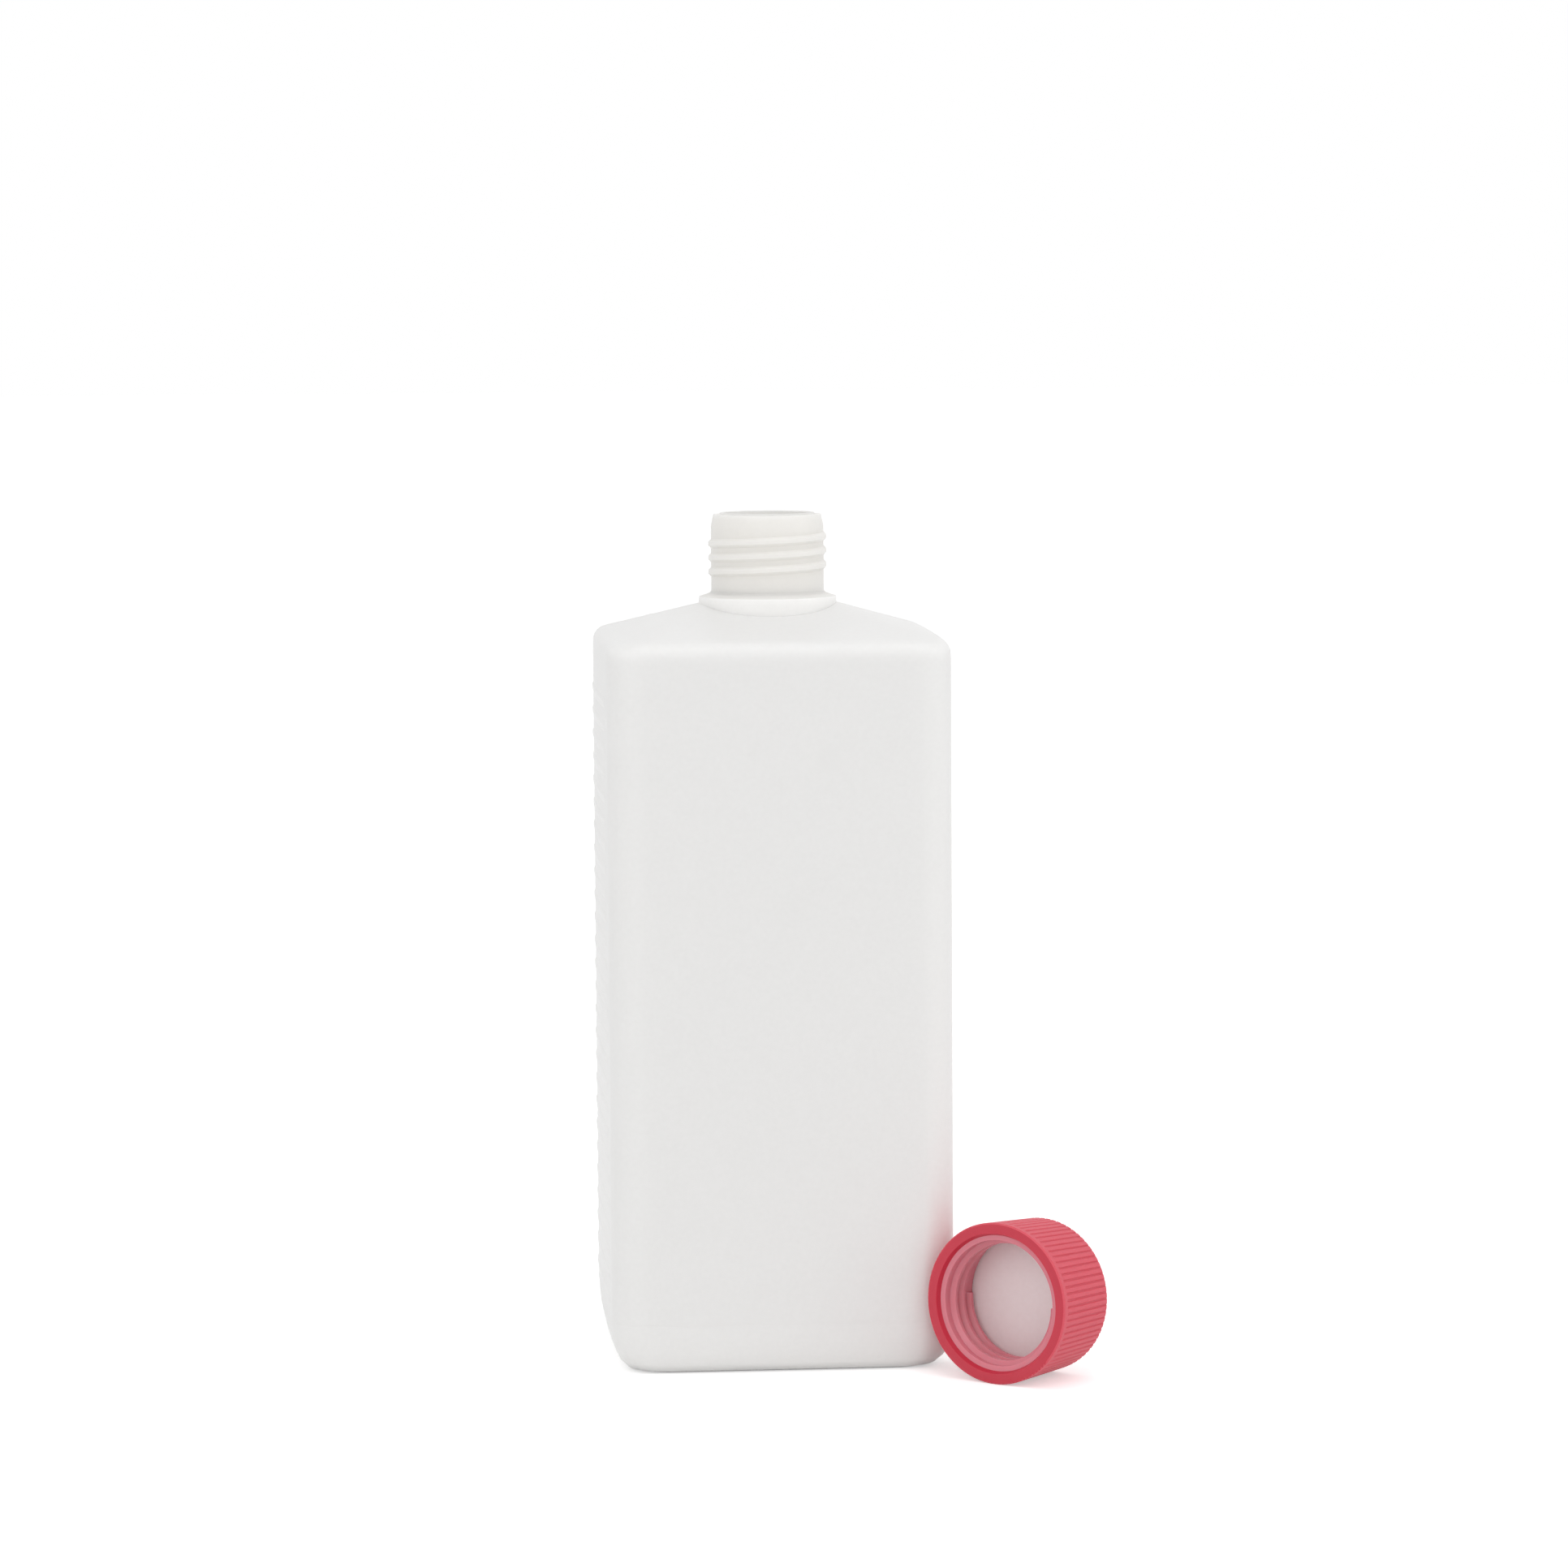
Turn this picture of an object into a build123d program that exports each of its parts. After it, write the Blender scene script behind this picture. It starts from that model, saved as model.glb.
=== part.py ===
from build123d import *
from math import atan, cos, degrees, pi, radians, sin, tan
import os

# Square laboratory media bottle, natural HDPE, with its screw cap taken off and laid beside it.
# Frame: bottle axis on +Z, foot at z = 0, a plain panel faces -Y, the ribbed panels face +X and -X.
# All values are millimetres.

# ---- bottle body, one blow moulding
body_w = 79.6            # across the two ribbed panels, X
body_d = 79.6            # front panel to back panel, Y
panel_bow = 0.9          # how far each panel swells out at its middle
body_corner_r = 8.0      # upright corners
wall = 1.2               # blown wall
base_h = 11.0            # height of the round-over between foot and panels, up to the mould's base seam
base_inset = 5.6         # how far it draws the foot in
foot_ring = 10.0         # width of the flat foot ring inside the round-over
push_up = 1.4            # how far the middle of the base is raised
base_wall = 1.7          # material between the push-up and the inside floor
shoulder_r = 4.2         # round-over between panel and shoulder
side_slope = 17.6        # degrees, shoulder above the ribbed panels
front_slope = 11.6       # degrees, shoulder above the front and back panels

# ---- neck finish
rim_z = 199.1            # top of the raised sealing lip
shoulder_drop = 28.8     # from there down to where panel and shoulder slope would meet without their round-over
lip_rise = 0.4           # sealing lip above the outer edge of the rim
lip_r = 11.3
lip_edge = 0.2           # broken edges of the sealing lip
bore_r = 10.7
bore_length = 16.6       # straight bore; below it the wall opens towards the shoulder
neck_top_r = 12.8        # outer edge of the rim
neck_root_r = 13.35
thread_r = 14.0          # crest
thread_pitch = 3.34
thread_turns = 3.0
thread_start = 14.8      # lowest crest below the rim, at the back of the neck
thread_foot = 2.2        # width of the thread where it meets the neck
thread_land = 0.9        # width of its crest
thread_sink = 0.35       # how far its root runs into the wall behind it
collar_r = 16.25         # outer top edge of the collar
collar_draft = 0.5       # how much wider its foot is
collar_below = 19.8      # that edge below the rim
collar_rise = 0.8        # from that edge up to the neck
collar_wall = 1.6

# ---- grip ribs on the +X and -X panels
rib_pitch = 5.6
rib_first_z = 16.5
rib_top_gap = 12.0       # least distance from the last rib to the shoulder edge
rib_height = 0.3
rib_width = 2.8
rib_side_gap = 10.8      # from the ends of the ribs to the front and back panels

# ---- cap, one moulding: open rim at cap z = 0, closed end at cap_h
cap_h = 21.0
cap_rim_r = 18.7         # over the knurl crests at the rim
cap_end_r = 17.8         # over the crests at the closed end
cap_band = 1.5           # smooth band next to the rim
knurl_count = 76
knurl_depth = 0.3
cap_edge_r = 1.8
thread_clear = 0.6       # radial, neck crest to cap wall
crest_clear = 0.15       # radial, cap crest to neck wall
cap_root_r = thread_r + thread_clear
cap_crest_r = neck_root_r + crest_clear
mouth_r = 15.75          # foot of the step inside the rim
mouth_draft = 0.5        # how much wider the step is at the rim
mouth_depth = 1.15
cap_turns = 2.5
cap_thread_z = 2.85      # where its thread starts
seat_depth = 13.4        # face of the wad below the rim
wad_t = 3.0
wad_gap = 0.3            # play round the wad
wad_undercut = 0.6       # the wad snaps in behind the end of the thread

# ---- where the cap lies: centre of its rim over the floor, and the heading of its closed end
cap_right = 7.4          # beyond the ribbed panel
cap_front = 16.2         # before the front panel
cap_heading = 39.1       # degrees from +Y towards +X


def bowed_square(hx, hy, bow):
    """Four arcs round a section whose corners stand at hx, hy."""
    ThreePointArc((-hx, -hy), (0, -hy - bow), (hx, -hy))
    ThreePointArc((hx, -hy), (hx + bow, 0), (hx, hy))
    ThreePointArc((hx, hy), (0, hy + bow), (-hx, hy))
    ThreePointArc((-hx, hy), (-hx - bow, 0), (-hx, -hy))


def half_at(z, half, slope, skin):
    """Half width at height z over one pair of panels, through the round-over and up the shoulder."""
    s, c = sin(radians(slope)), cos(radians(slope))
    r = shoulder_r - skin
    edge = shoulder_z - skin * (1 - s) / c
    start = edge - r * (1 - s) / c
    half = half - skin
    if z <= start:
        return half
    if z <= start + r * c:
        return half - r + (r * r - (z - start) ** 2) ** 0.5
    return max(half - (z - edge) * c / s, 0.2 * collar_r)


def shoulder_sections(skin):
    """Height, half widths, corner radius and bow of each section, from the panels in under the collar."""
    s, c = sin(radians(side_slope)), cos(radians(side_slope))
    edge, r = shoulder_z - skin * (1 - s) / c, shoulder_r - skin
    top = edge + (body_w / 2 - skin - (collar_r - 1 - skin)) * s / c
    rows = []
    for z in [edge - r * share for share in (1, 0.55, 0.3, 0.12, -0.02, -0.13, -0.23)] + [top]:
        hx, hy = half_at(z, body_w / 2, side_slope, skin), half_at(z, body_d / 2, front_slope, skin)
        inset = body_w / 2 - skin - hx
        corner = min(body_corner_r - skin * 0.6 + 0.4 * inset, 0.9 * min(hx, hy))
        rows.append((z, hx, hy, corner, panel_bow * max(0.05, 1 - inset / 8)))
    return rows


def base_sections(height, inset, bottom, skin):
    """The same up the round-over at the foot."""
    rows = []
    for a in (radians(d) for d in (0, 20, 40, 60, 77, 90)):
        drawn_in = inset * (1 - sin(a))
        rows.append((bottom + height * (1 - cos(a)), body_w / 2 - skin - drawn_in, body_d / 2 - skin - drawn_in,
                     body_corner_r - skin * 0.6, panel_bow * max(0.05, sin(a))))
    return rows


shoulder_z = rim_z - shoulder_drop
shoulder_out, shoulder_in = shoulder_sections(0), shoulder_sections(wall)
floor_z = push_up + base_wall
base_out = base_sections(base_h, base_inset, 0, 0)
base_in = base_sections(base_h - floor_z + 1, base_inset * 0.7, floor_z, wall)
collar_z = rim_z - collar_below
neck_taper = thread_start - lip_rise - thread_pitch * thread_turns - 0.75 * thread_foot  # from the rim to its end
bore_low = rim_z - lip_edge - bore_length
rib_count = 1 + int((shoulder_z - rib_top_gap - rib_first_z) / rib_pitch)
rib_half_length = body_d / 2 - rib_side_gap
cap_x, cap_y = body_w / 2 + cap_right, -body_d / 2 - cap_front

# ---------------------------------------------------------------- bottle
with BuildPart() as bottle:
    # foot round-over, then the shoulder, each lofted from bowed square sections
    for rows in (base_out, shoulder_out):
        for z, hx, hy, corner, bow in rows:
            with BuildSketch(Plane.XY.offset(z)) as level:
                with BuildLine():
                    bowed_square(hx, hy, bow)
                make_face()
                fillet(level.vertices(), corner)
        loft(ruled=True)
    # upright panels between them
    with BuildSketch(Plane.XY.offset(base_h)) as panels:
        with BuildLine():
            bowed_square(body_w / 2, body_d / 2, panel_bow)
        make_face()
        fillet(panels.vertices(), body_corner_r)
    extrude(amount=shoulder_out[0][0] - base_h)
    # collar, neck and sealing lip
    with BuildSketch(Plane.XZ) as finish:
        with BuildLine():
            Polyline((0, shoulder_z), (collar_r + collar_draft, shoulder_z), (collar_r, collar_z),
                     (neck_root_r + 0.5, collar_z + collar_rise), (neck_root_r, collar_z + collar_rise + 0.5),
                     (neck_root_r, rim_z - lip_rise - neck_taper), (neck_top_r, rim_z - lip_rise),
                     (lip_r, rim_z - lip_rise), (lip_r, rim_z - lip_edge), (lip_r - lip_edge, rim_z),
                     (0, rim_z), close=True)
        make_face()
    revolve(axis=Axis.Z)

    # inside of the foot, panels and shoulder
    for rows in (base_in, shoulder_in):
        for z, hx, hy, corner, bow in rows:
            with BuildSketch(Plane.XY.offset(z)) as level:
                with BuildLine():
                    bowed_square(hx, hy, bow)
                make_face()
                fillet(level.vertices(), corner)
        loft(ruled=True, mode=Mode.SUBTRACT)
    with BuildSketch(Plane.XY.offset(base_in[-1][0])) as hollow:
        with BuildLine():
            bowed_square(body_w / 2 - wall, body_d / 2 - wall, panel_bow)
        make_face()
        fillet(hollow.vertices(), base_in[-1][3])
    extrude(amount=shoulder_in[0][0] - base_in[-1][0], mode=Mode.SUBTRACT)
    # bore, opening out under the collar
    with BuildSketch(Plane.XZ) as bore:
        flare = collar_r - collar_wall
        with BuildLine():
            Polyline((0, shoulder_z), (flare, shoulder_z), (flare, collar_z - collar_wall),
                     (bore_r, bore_low), (bore_r, rim_z - lip_edge), (bore_r + lip_edge * 2, rim_z + lip_edge),
                     (0, rim_z + lip_edge), close=True)
        make_face()
    revolve(axis=Axis.Z, mode=Mode.SUBTRACT)

    # raised middle of the base, leaving a flat ring to stand on
    with BuildSketch(Plane.XY) as kick:
        RectangleRounded(body_w - 2 * (base_inset + foot_ring), body_d - 2 * (base_inset + foot_ring), 7)
    extrude(amount=push_up, taper=35, mode=Mode.SUBTRACT)

    # grip ribs, each following the bow of its panel
    bow_r = (body_d ** 2 / 4 + panel_bow ** 2) / (2 * panel_bow)
    reach = degrees(rib_half_length / bow_r)
    c, t = cos(radians(reach)), sin(radians(reach))
    for side in (1, -1):
        hub = Vector(side * (body_w / 2 + panel_bow - bow_r), 0, 0)
        with BuildSketch(Plane(hub, x_dir=(side * c, -side * t, 0), z_dir=(-side * t, -side * c, 0))) as ribs:
            for n in range(rib_count):
                z = rib_first_z + n * rib_pitch
                with BuildLine():
                    Polyline((bow_r - 0.6, z - rib_width / 2), (bow_r, z - rib_width / 2),
                             (bow_r + rib_height, z - 0.4), (bow_r + rib_height, z + 0.4),
                             (bow_r, z + rib_width / 2), (bow_r - 0.6, z + rib_width / 2), close=True)
                make_face()
        revolve(axis=Axis(hub, (0, 0, 1)), revolution_arc=2 * reach)

    # right-hand thread, starting and ending at the back
    with BuildLine() as turns:
        Helix(thread_pitch, thread_pitch * thread_turns, neck_root_r, center=(0, 0, rim_z - thread_start))
    run = turns.line.rotate(Axis.Z, 90)
    depth = thread_r - neck_root_r
    foot_half = thread_foot / 2 + (thread_foot - thread_land) / 2 * thread_sink / depth
    with BuildSketch(Plane(run @ 0, x_dir=(0, 1, 0), z_dir=run % 0)) as crest:
        with BuildLine():
            Polyline((-thread_sink, -foot_half), (depth, -thread_land / 2), (depth, thread_land / 2),
                     (-thread_sink, foot_half), close=True)
        make_face()
    sweep(path=run, is_frenet=True)
bottle.part.label = "bottle"

# ---------------------------------------------------------------- cap, lying on its side
lean = atan((cap_rim_r - cap_end_r) / cap_h)      # the draft tips the closed end down to the floor
head = radians(cap_heading)
cap_plane = Plane((cap_x, cap_y, cap_rim_r * cos(lean)), x_dir=(cos(head), -sin(head), 0),
                  z_dir=(sin(head) * cos(lean), cos(head) * cos(lean), -sin(lean)))
cap_side = Plane(cap_plane.origin, x_dir=cap_plane.x_dir, z_dir=-cap_plane.y_dir)
cap_axis = Axis(cap_plane.origin, cap_plane.z_dir)
recess_r = cap_root_r + wad_undercut
ceiling = seat_depth + wad_t

with BuildPart() as screw_cap:
    # knurled skirt: grooves from behind the smooth band to the closed end
    for z in (cap_band, cap_h):
        r = cap_rim_r + (cap_end_r - cap_rim_r) * z / cap_h
        teeth = []
        for n in range(knurl_count):
            for share, radius in ((-0.28, r), (0.28, r), (0.43, r - knurl_depth), (0.57, r - knurl_depth)):
                a = radians((n + share) * 360 / knurl_count)
                teeth.append((radius * cos(a), radius * sin(a)))
        with BuildSketch(cap_plane.offset(z)) as knurl:
            with BuildLine():
                Polyline(*teeth, close=True)
            make_face()
    loft(ruled=True)
    with BuildSketch(cap_side) as band:
        band_r = cap_rim_r + (cap_end_r - cap_rim_r) * cap_band / cap_h
        with BuildLine():
            Polyline((0, 0), (cap_rim_r - 0.35, 0), (cap_rim_r - (cap_rim_r - cap_end_r) * 0.3 / cap_h, 0.3),
                     (band_r, cap_band), (0, cap_band), close=True)
        make_face()
    revolve(axis=cap_axis)
    # rounded edge of the closed end
    with BuildSketch(cap_side) as envelope:
        with BuildLine():
            Polyline((0, 0), (cap_rim_r + 0.2, 0), (cap_end_r + 0.2, cap_h), (0, cap_h), close=True)
        make_face()
        fillet(envelope.vertices().sort_by(Axis(cap_plane.origin, cap_plane.z_dir))[-2:].sort_by(
            Axis(cap_plane.origin, cap_plane.x_dir))[-1], cap_edge_r)
    revolve(axis=cap_axis, mode=Mode.INTERSECT)
    # inside: step at the mouth, thread wall, recess for the wad
    with BuildSketch(cap_side) as cavity:
        with BuildLine():
            Polyline((0, -1), (mouth_r + mouth_draft, -1), (mouth_r + mouth_draft, 0), (mouth_r, mouth_depth),
                     (cap_root_r, mouth_depth + 0.15), (cap_root_r, seat_depth - 0.6), (recess_r, seat_depth - 0.2), (recess_r, ceiling),
                     (0, ceiling), close=True)
        make_face()
    revolve(axis=cap_axis, mode=Mode.SUBTRACT)
    # its thread, the same hand and pitch as the neck's
    low = cap_plane.from_local_coords(Vector(0, 0, cap_thread_z))
    with BuildLine() as turns:
        Helix(thread_pitch, thread_pitch * cap_turns, cap_root_r, center=low, direction=cap_plane.z_dir)
    run = turns.line
    depth = cap_root_r - cap_crest_r
    foot_half = thread_foot / 2 + (thread_foot - thread_land) / 2 * thread_sink / depth
    with BuildSketch(Plane(run @ 0, x_dir=(run @ 0 - low).normalized(), z_dir=run % 0)) as ridge:
        with BuildLine():
            Polyline((thread_sink, -foot_half), (-depth, -thread_land / 2), (-depth, thread_land / 2),
                     (thread_sink, foot_half), close=True)
        make_face()
    sweep(path=run, is_frenet=True)
screw_cap.part.label = "screw_cap"

# ---------------------------------------------------------------- wad
with BuildPart() as cap_liner:
    with BuildSketch(cap_plane.offset(seat_depth)):
        Circle(recess_r - wad_gap)
    extrude(amount=wad_t)
cap_liner.part.label = "cap_liner"

os.makedirs("parts", exist_ok=True)
export_step(bottle.part, "parts/bottle.step")
export_step(screw_cap.part, "parts/screw_cap.step")
export_step(cap_liner.part, "parts/cap_liner.step")
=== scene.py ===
"""A square media bottle of natural HDPE, uncapped, with its red screw cap lying beside it."""

from math import radians

import bmesh
import bpy
from mathutils import Matrix, Vector


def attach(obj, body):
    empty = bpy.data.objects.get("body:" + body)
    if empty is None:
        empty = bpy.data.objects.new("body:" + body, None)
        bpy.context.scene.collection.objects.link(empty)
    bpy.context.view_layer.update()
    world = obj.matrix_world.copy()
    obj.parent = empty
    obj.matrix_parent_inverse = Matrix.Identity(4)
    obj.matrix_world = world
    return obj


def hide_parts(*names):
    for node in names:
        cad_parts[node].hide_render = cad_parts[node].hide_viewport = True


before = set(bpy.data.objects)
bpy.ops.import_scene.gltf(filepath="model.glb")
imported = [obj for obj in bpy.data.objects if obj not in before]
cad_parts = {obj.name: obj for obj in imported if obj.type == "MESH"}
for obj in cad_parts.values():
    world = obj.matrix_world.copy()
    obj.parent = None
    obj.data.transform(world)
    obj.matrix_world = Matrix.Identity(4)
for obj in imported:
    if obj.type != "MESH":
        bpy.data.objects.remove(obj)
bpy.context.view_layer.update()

MM = 0.001
WHITE = (1, 1, 1, 1)

# The camera: its place in mm, how far it looks down, to the left and is rolled, in degrees, and the lens
# and the sensor it has, in mm.
CAMERA_PLACE = (-98.3, -1280.4, 252.0)
CAMERA_DOWN = 5.231
CAMERA_LEFT = 4.551
CAMERA_ROLL = -0.378
CAMERA_LENS = 124.46
SENSOR_WIDTH = 36

# The cap, in mm: centre of its rim and the way its axis runs in. Then what tells its faces apart: how deep
# the flat of the rim is, the depths and the radius that its inner faces lie within and the least radius of
# its knurled side.
CAP_RIM = (47.2, -56.0, 18.68)
CAP_AXIS = (0.6301, 0.7753, -0.0428)
RIM_FLAT = 0.1
RIM_STEP, CEILING = 0.8, 17.5
MOUTH_R = 16.0
KNURL_R = 17.0

# The bottle's finish, in mm: height of the neck's foot, then height, half width and depth of the seam round
# the foot, then place, radius and tint of the spot on the front, and the share of its radius that is even.
NECK_FOOT = 179.3
FOOT_SEAM, SEAM_HALF, SEAM_DEPTH = 12.0, 0.25, 0.1
SPOT_PLACE, SPOT_R, SPOT_TINT, SPOT_EVEN = (10.6, -40.4, 143.8), 4.4, "#f1f0ee", 0.3

# Points nearer than this are one, in mm, and an edge past this angle stays sharp, in degrees.
SAME_POINT = 0.002
SHARP_EDGE = 35.0

# The side panels and their ribs, in mm: half width, how far a panel swells out, then the ribs' first
# height, pitch, number, rise, half width at foot and top, half length and the run-out at each end.
PANEL_HALF, PANEL_BOW = 39.8, 0.9
BOW_R = (PANEL_HALF ** 2 + PANEL_BOW ** 2) / (2 * PANEL_BOW)
RIB_FIRST, RIB_PITCH, RIB_COUNT, RIB_RISE = 16.5, 5.6, 26, 0.3
RIB_FOOT, RIB_TOP, RIB_LENGTH, RIB_RUN_OUT = 1.4, 0.4, 29.0, 1.5
RIB_FLANK = (RIB_FOOT + RIB_TOP) / 2

# How the panels are cut anew, in mm: how far past its half width a panel's own faces lie, the width of the
# strips it is cut into, how much is left alone at each corner and the heights between which points move.
# Then how near counts as the same: to a rib's end, a cut to a point, two points, and the ends of an edge.
PANEL_SKIN, PANEL_STRIP, PANEL_CORNER = 0.1, 3.0, 8.1
PANEL_LOW, PANEL_HIGH = 11.5, 165.5
END_SLACK, CUT_SLACK, POINT_SLACK, EDGE_SLACK = 0.05, 0.01, 0.004, 0.001

# Light: the strength of the room's own light, what the floor adds for the eye, the floor's half width and
# the middle of the bottle, which the lamps face, in metres.
ROOM_LIGHT, FLOOR_GLOW = 0.74, 0.42
FLOOR_HALF = 12
BOTTLE_MIDDLE = (0, 0, 0.1)


def linear(hex_colour):
    """The linear colour of an sRGB hex value."""
    parts = [int(hex_colour[i:i + 2], 16) / 255 for i in (1, 3, 5)]
    return [p / 12.92 if p <= 0.04045 else ((p + 0.055) / 1.055) ** 2.4 for p in parts] + [1]


def add(tree, kind, inputs=None, **settings):
    """Adds a node with its settings; each input takes a value or another node's socket."""
    node = tree.nodes.new(kind)
    for name, value in settings.items():
        setattr(node, name, value)
    for name, value in (inputs or {}).items():
        if isinstance(value, bpy.types.NodeSocket):
            tree.links.new(value, node.inputs[name])
        else:
            node.inputs[name].default_value = value
    return node


def new_material(name):
    """A material with an empty node tree."""
    material = bpy.data.materials.new(name)
    material.use_nodes = True
    material.node_tree.nodes.clear()
    return material, material.node_tree


def noise(tree, place, size, detail):
    """A noise whose patches are about `size` mm wide."""
    return add(tree, "ShaderNodeTexNoise",
               {"Vector": place, "Scale": 1 / (size * MM), "Detail": detail}).outputs["Fac"]


def relief(tree, height, depth, strength, **under):
    """The normals of a relief up to `depth` mm high, over the normals given as Normal."""
    return add(tree, "ShaderNodeBump", {"Height": height, "Distance": depth * MM,
                                        "Strength": strength, **under}).outputs["Normal"]


def blend(tree, share, low, high):
    """A colour between two others."""
    return add(tree, "ShaderNodeMix", {"Factor": share, "A": low, "B": high},
               data_type="RGBA").outputs[2]


def plastic(tree, inputs):
    """One plastic surface as the material's output."""
    skin = add(tree, "ShaderNodeBsdfPrincipled", inputs)
    add(tree, "ShaderNodeOutputMaterial", {"Surface": skin.outputs["BSDF"]})


def seen_rays(tree):
    """1 for the rays that carry a picture: to the camera, off a gloss or through a clear piece."""
    path = add(tree, "ShaderNodeLightPath").outputs
    seen = add(tree, "ShaderNodeMath", {0: path["Is Camera Ray"], 1: path["Is Glossy Ray"]},
               operation="MAXIMUM")
    return add(tree, "ShaderNodeMath", {0: seen.outputs[0], 1: path["Is Transmission Ray"]},
               operation="MAXIMUM").outputs[0]


def natural_hdpe_finish(name, light_tint, deep_tint, bleed):
    """Blow-moulded natural HDPE: milky, a soft waxy gloss, light that bleeds some mm through the wall."""
    material, tree = new_material(name)
    place = add(tree, "ShaderNodeTexCoord").outputs["Object"]
    slow = relief(tree, noise(tree, place, 28, 2), 0.12, 0.5)
    fine = relief(tree, noise(tree, place, 0.6, 1), 0.02, 0.4, Normal=slow)
    # The seam round the foot, where the mould's base plate meets its halves: a narrow groove.
    height = add(tree, "ShaderNodeSeparateXYZ", {"Vector": place}).outputs["Z"]
    on_seam = add(tree, "ShaderNodeMath", {0: height, 1: FOOT_SEAM * MM, 2: SEAM_HALF * MM},
                  operation="COMPARE").outputs[0]
    groove = relief(tree, on_seam, -SEAM_DEPTH, 1.0, Normal=fine)
    # A faint round spot high on the front panel, a little deeper than the rest.
    off_spot = add(tree, "ShaderNodeVectorMath", {0: place, 1: [n * MM for n in SPOT_PLACE]},
                   operation="DISTANCE")
    spot = add(tree, "ShaderNodeMapRange", {"Value": off_spot.outputs["Value"],
                                            "From Min": SPOT_EVEN * SPOT_R * MM, "From Max": SPOT_R * MM,
                                            "To Min": 1.0, "To Max": 0.0}, interpolation_type="SMOOTHSTEP")
    cloud = blend(tree, noise(tree, place, 1, 4), linear(deep_tint), linear(light_tint))
    tint = blend(tree, spot.outputs["Result"], cloud, linear(SPOT_TINT))
    plastic(tree, {"Base Color": tint, "Roughness": 0.42, "IOR": 1.54, "Subsurface Weight": 0.8,
                   "Subsurface Radius": (1.0, 1.0, 1.0), "Subsurface Scale": bleed * MM,
                   "Normal": groove})
    return material


# The neck is moulded solid and smooth, so light runs further in it than in the panels.
natural_hdpe = natural_hdpe_finish("blow_moulded_natural_hdpe", "#f5f4f2", "#f0efed", 2.5)
neck_hdpe = natural_hdpe_finish("compression_moulded_neck_natural_hdpe", "#eae8e4", "#e6e4e0", 3.5)

# Injection-moulded red polypropylene: an even, slightly pink red with a soft satin gloss.
red_polypropylene, tree = new_material("injection_moulded_red_polypropylene")
place = add(tree, "ShaderNodeTexCoord").outputs["Object"]
fine = relief(tree, noise(tree, place, 0.4, 1), 0.01, 0.5)
tint = blend(tree, noise(tree, place, 9, 2), linear("#c22a40"), linear("#c82f45"))
plastic(tree, {"Base Color": tint, "Roughness": 0.38, "IOR": 1.49, "Subsurface Weight": 0.3,
               "Subsurface Radius": (1.0, 0.3, 0.3), "Subsurface Scale": 1.5 * MM, "Normal": fine})

# The same polypropylene on the knurled side, which came off a blasted mould: matt, with a paler red that is
# a painted sheen.
knurled_polypropylene_painted_sheen, tree = new_material("blasted_mould_red_polypropylene_painted_sheen")
place = add(tree, "ShaderNodeTexCoord").outputs["Object"]
grain = noise(tree, place, 0.35, 2)
fine = relief(tree, grain, 0.03, 0.5)
# Painted sheen: this paler, pinker red stands for the light the matt knurls catch; the grain between the
# two tints is real.
tint = blend(tree, grain, linear("#cf4858"), linear("#dc5a69"))
plastic(tree, {"Base Color": tint, "Roughness": 0.55, "IOR": 1.49, "Subsurface Weight": 0.4,
               "Subsurface Radius": (1.0, 0.5, 0.5), "Subsurface Scale": 1 * MM, "Normal": fine})

# The same polypropylene where the polished core shaped it: glossier, and painted paler for the light that
# comes through the wall.
core_polypropylene_painted_light, tree = new_material("core_side_red_polypropylene_painted_light")
plastic(tree, {"Base Color": linear("#d87f8c"), "Roughness": 0.25, "IOR": 1.49, "Subsurface Weight": 0.5,
               "Subsurface Radius": (1.0, 0.4, 0.4), "Subsurface Scale": 2 * MM})

# Foamed polyethylene wad: matt, faintly mottled white, its faint pink a painted reflection of the red cap
# round it.
wad_painted_red_reflection, tree = new_material("foamed_polyethylene_wad_painted_red_reflection")
place = add(tree, "ShaderNodeTexCoord").outputs["Object"]
cells = noise(tree, place, 1.2, 3)
fine = relief(tree, cells, 0.05, 0.5)
# Painted reflection: the pink in both whites stands for the cap's red light; the mottling between them is
# real.
tint = blend(tree, cells, linear("#eee6e6"), linear("#f4eeee"))
plastic(tree, {"Base Color": tint, "Roughness": 0.7, "IOR": 1.5, "Normal": fine})


def smooth_step(share):
    """From 0 to 1 with soft ends."""
    share = min(max(share, 0.0), 1.0)
    return share * share * (3 - 2 * share)


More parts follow.
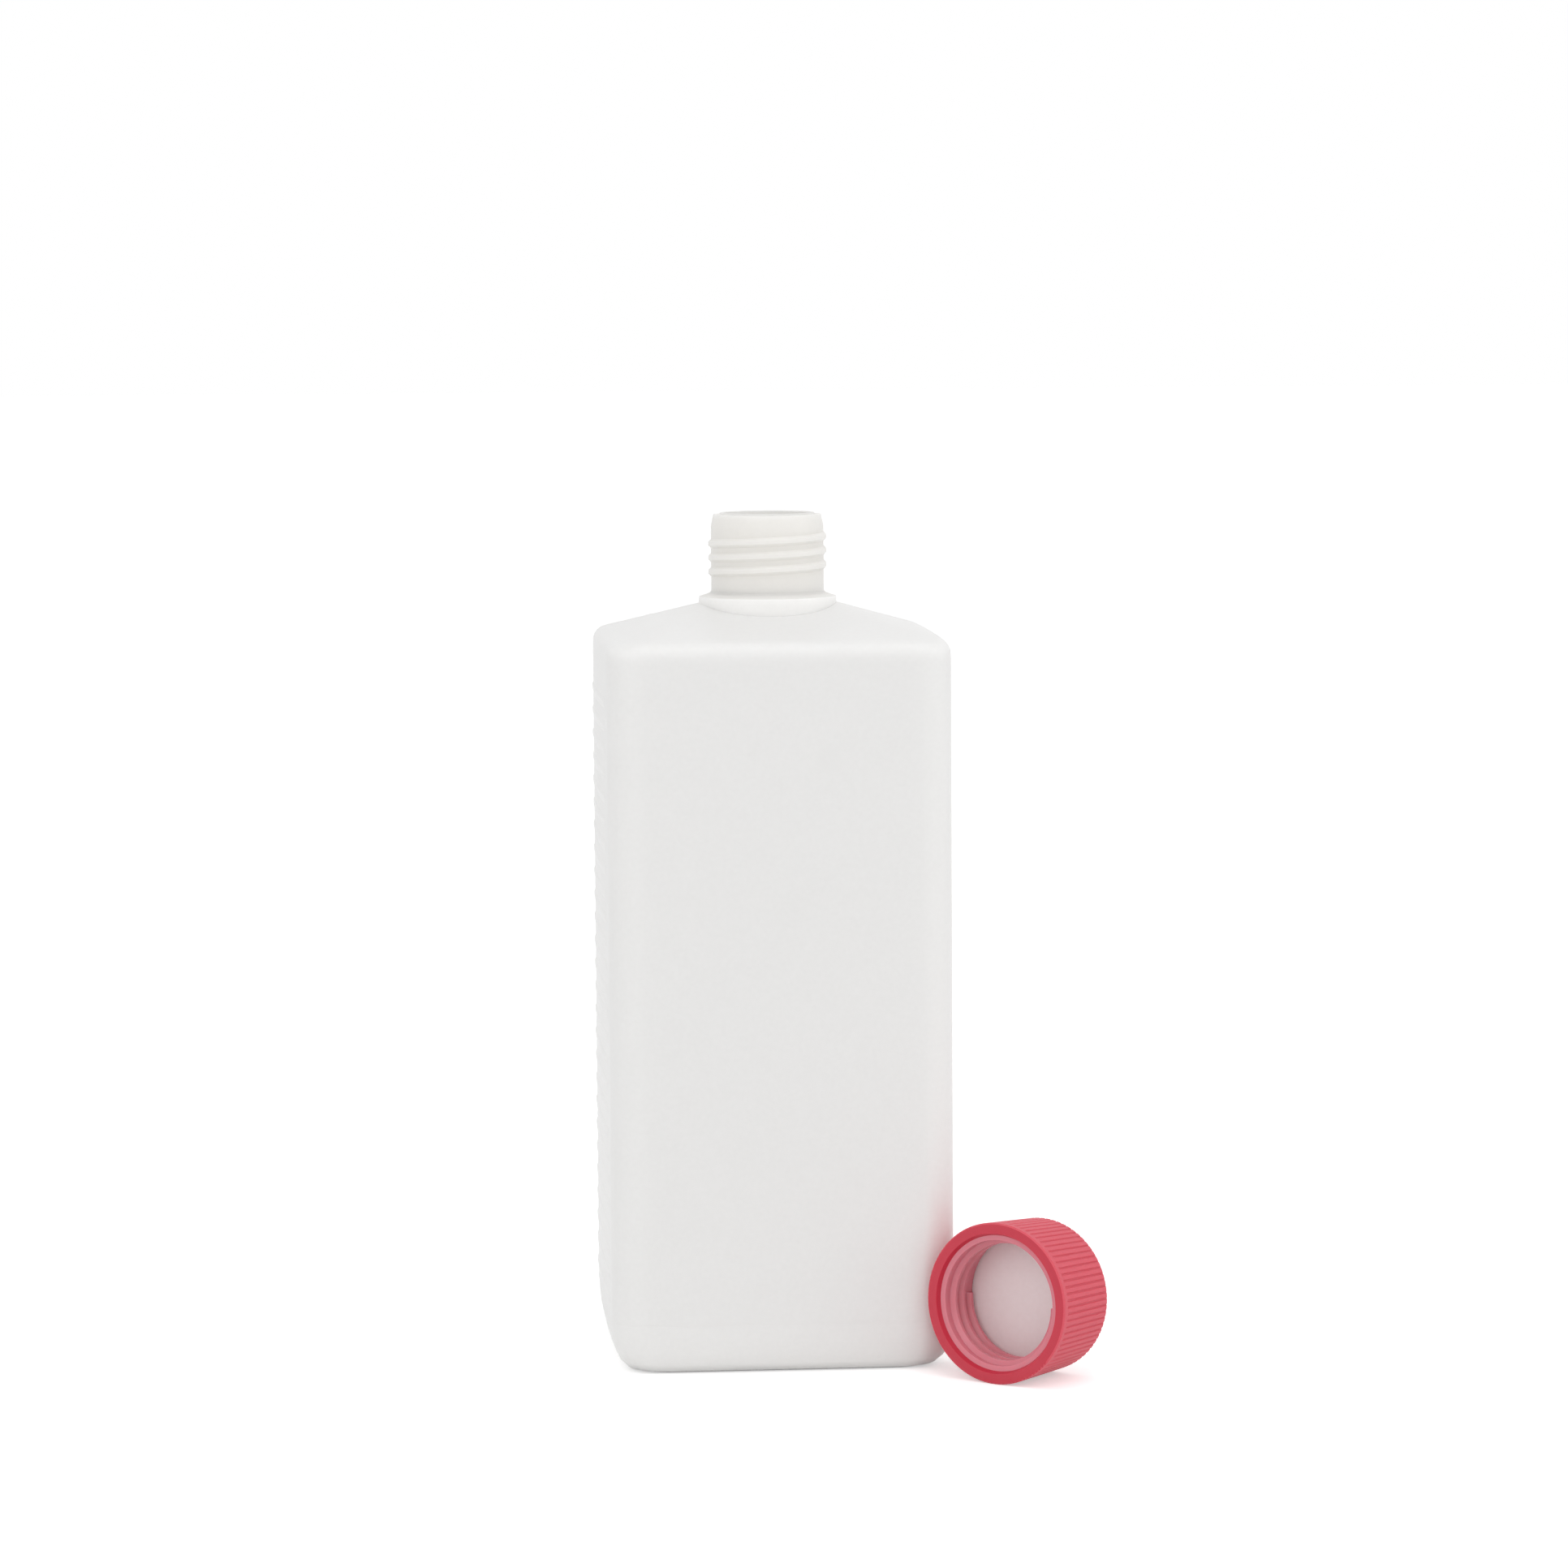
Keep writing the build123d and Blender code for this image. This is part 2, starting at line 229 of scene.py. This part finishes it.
def true_ribs(bm):
    """Cuts both side panels along their ribs and sets each point on the true curve of panel and rib."""
    levels = [RIB_FIRST + n * RIB_PITCH + off for n in range(RIB_COUNT)
              for off in (-RIB_FOOT, -RIB_FLANK, -RIB_TOP, 0, RIB_TOP, RIB_FLANK, RIB_FOOT)]
    strips = int(RIB_LENGTH / PANEL_STRIP)
    across = [PANEL_STRIP * n for n in range(-strips, strips + 1)]
    across += [end * side for end in (RIB_LENGTH - RIB_RUN_OUT / 2, RIB_LENGTH) for side in (-1, 1)]
    cuts = [((0, y * MM, 0), (0, 1, 0)) for y in across] + [((0, 0, z * MM), (0, 0, 1)) for z in levels]
    for side in (1, -1):
        skin = [f for f in bm.faces
                if all(v.co.x * side > (PANEL_HALF + PANEL_SKIN) * MM for v in f.verts)]
        geom = skin + list({e for f in skin for e in f.edges}) + list({v for f in skin for v in f.verts})
        for point, normal in cuts:
            geom = bmesh.ops.bisect_plane(bm, geom=geom, dist=CUT_SLACK * MM, plane_co=point,
                                          plane_no=normal)["geom"]
        for vert in {v for f in geom if isinstance(f, bmesh.types.BMFace) for v in f.verts}:
            y, z = vert.co.y / MM, vert.co.z / MM
            if abs(y) > PANEL_HALF - PANEL_CORNER or not PANEL_LOW < z < PANEL_HIGH:
                continue
            if abs(abs(y) - RIB_LENGTH) < END_SLACK:
                y = RIB_LENGTH if y > 0 else -RIB_LENGTH
            rib = min(max(round((z - RIB_FIRST) / RIB_PITCH), 0), RIB_COUNT - 1)
            off = abs(z - RIB_FIRST - rib * RIB_PITCH)
            rise = RIB_RISE * smooth_step((RIB_FOOT - off) / (RIB_FOOT - RIB_TOP))
            rise *= smooth_step((RIB_LENGTH - abs(y)) / RIB_RUN_OUT)
            out = PANEL_HALF + PANEL_BOW - BOW_R + ((BOW_R + rise) ** 2 - y ** 2) ** 0.5
            vert.co.x, vert.co.y = side * out * MM, y * MM
    bmesh.ops.remove_doubles(bm, verts=bm.verts, dist=POINT_SLACK * MM)
    bmesh.ops.dissolve_degenerate(bm, dist=EDGE_SLACK * MM, edges=bm.edges)


def dress(node_name, material):
    """A merged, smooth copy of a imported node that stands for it, in its finish."""
    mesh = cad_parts[node_name].data.copy()
    bm = bmesh.new()
    bm.from_mesh(mesh)
    bmesh.ops.remove_doubles(bm, verts=bm.verts, dist=SAME_POINT * MM)
    bmesh.ops.recalc_face_normals(bm, faces=bm.faces)
    if node_name == "bottle":
        true_ribs(bm)
    for face in bm.faces:
        face.smooth = True
    for edge in bm.edges:
        edge.smooth = len(edge.link_faces) == 2 and edge.calc_face_angle(0) < radians(SHARP_EDGE)
    bm.to_mesh(mesh)
    bm.free()
    mesh.materials.clear()
    mesh.materials.append(material)
    piece = bpy.data.objects.new(node_name + "_dressed", mesh)
    bpy.context.scene.collection.objects.link(piece)
    weighed = piece.modifiers.new("weighed_normals", "WEIGHTED_NORMAL")
    weighed.keep_sharp = True
    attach(piece, "root")
    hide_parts(node_name)
    return piece


# The bottle, with its neck's faces in the neck's finish.
bottle = dress("bottle", natural_hdpe)
bottle.data.materials.append(neck_hdpe)
for face in bottle.data.polygons:
    if face.center.z > NECK_FOOT * MM:
        face.material_index = 1

# The cap: satin on the rim and the closed end, painted pale inside for the light through its wall, and matt
# with a painted sheen on the knurled side. Then its wad.
cap = dress("screw_cap", red_polypropylene)
cap.data.materials.append(core_polypropylene_painted_light)
cap.data.materials.append(knurled_polypropylene_painted_sheen)
rim_centre, cap_axis = Vector(CAP_RIM) * MM, Vector(CAP_AXIS).normalized()
for face in cap.data.polygons:
    depth = (face.center - rim_centre).dot(cap_axis)
    radius = (face.center - rim_centre - depth * cap_axis).length
    if RIM_STEP * MM < depth < CEILING * MM and radius < MOUTH_R * MM:
        face.material_index = 1
    elif depth > RIM_FLAT * MM and radius > KNURL_R * MM:
        face.material_index = 2
dress("cap_liner", wad_painted_red_reflection)

# Floor: a wide white sheet that keeps the shadows and is plain white elsewhere.
white_floor, tree = new_material("white_studio_floor")
glow = add(tree, "ShaderNodeMath", {0: seen_rays(tree), 1: FLOOR_GLOW}, operation="MULTIPLY")
lit = add(tree, "ShaderNodeBsdfDiffuse", {"Color": linear("#efefef")})
own = add(tree, "ShaderNodeEmission", {"Strength": glow.outputs[0]})
both = add(tree, "ShaderNodeAddShader", {0: lit.outputs[0], 1: own.outputs[0]})
add(tree, "ShaderNodeOutputMaterial", {"Surface": both.outputs[0]})
bm = bmesh.new()
bmesh.ops.create_grid(bm, x_segments=1, y_segments=1, size=FLOOR_HALF)
floor_mesh = bpy.data.meshes.new("floor")
bm.to_mesh(floor_mesh)
bm.free()
floor_mesh.materials.append(white_floor)
floor = bpy.data.objects.new("floor", floor_mesh)
bpy.context.scene.collection.objects.link(floor)

# World: an even white room; the camera sees it as plain white.
world = bpy.data.worlds.new("white_room")
world.use_nodes = True
tree = world.node_tree
tree.nodes.clear()
room = add(tree, "ShaderNodeBackground", {"Color": WHITE, "Strength": ROOM_LIGHT})
plain = add(tree, "ShaderNodeBackground", {"Color": WHITE, "Strength": 1.0})
both = add(tree, "ShaderNodeMixShader", {0: seen_rays(tree), 1: room.outputs[0], 2: plain.outputs[0]})
add(tree, "ShaderNodeOutputWorld", {"Surface": both.outputs[0]})
bpy.context.scene.world = world


def soft_lamp(name, place, size, power):
    """A square soft box facing the middle of the bottle; place and size in metres, power in watts."""
    lamp = bpy.data.lights.new(name, "AREA")
    lamp.shape = "SQUARE"
    lamp.size = size
    lamp.energy = power
    box = bpy.data.objects.new(name, lamp)
    aim = (Vector(BOTTLE_MIDDLE) - Vector(place)).to_track_quat("-Z", "Y")
    box.matrix_world = Matrix.Translation(place) @ aim.to_matrix().to_4x4()
    bpy.context.scene.collection.objects.link(box)


soft_lamp("front_left_box", (-1.1, -1.9, 1.1), 1.4, 7)
soft_lamp("front_right_box", (0.9, -1.9, 1.3), 1.4, 3.5)
soft_lamp("right_box", (2.1, -0.6, 0.9), 1.4, 5.5)
soft_lamp("left_box", (-2.1, -0.8, 0.2), 1.2, 1.5)
soft_lamp("top_box", (0.2, -0.7, 2.2), 1.4, 6.5)

# Camera.
lens = bpy.data.cameras.new("camera")
lens.sensor_width = SENSOR_WIDTH
lens.lens = CAMERA_LENS
camera = bpy.data.objects.new("camera", lens)
camera.matrix_world = (Matrix.Translation(Vector(CAMERA_PLACE) * MM)
                       @ Matrix.Rotation(radians(-CAMERA_LEFT), 4, "Z")
                       @ Matrix.Rotation(radians(90 - CAMERA_DOWN), 4, "X")
                       @ Matrix.Rotation(radians(CAMERA_ROLL), 4, "Z"))
bpy.context.scene.collection.objects.link(camera)
bpy.context.scene.camera = camera
bpy.context.scene.view_settings.view_transform = "Standard"
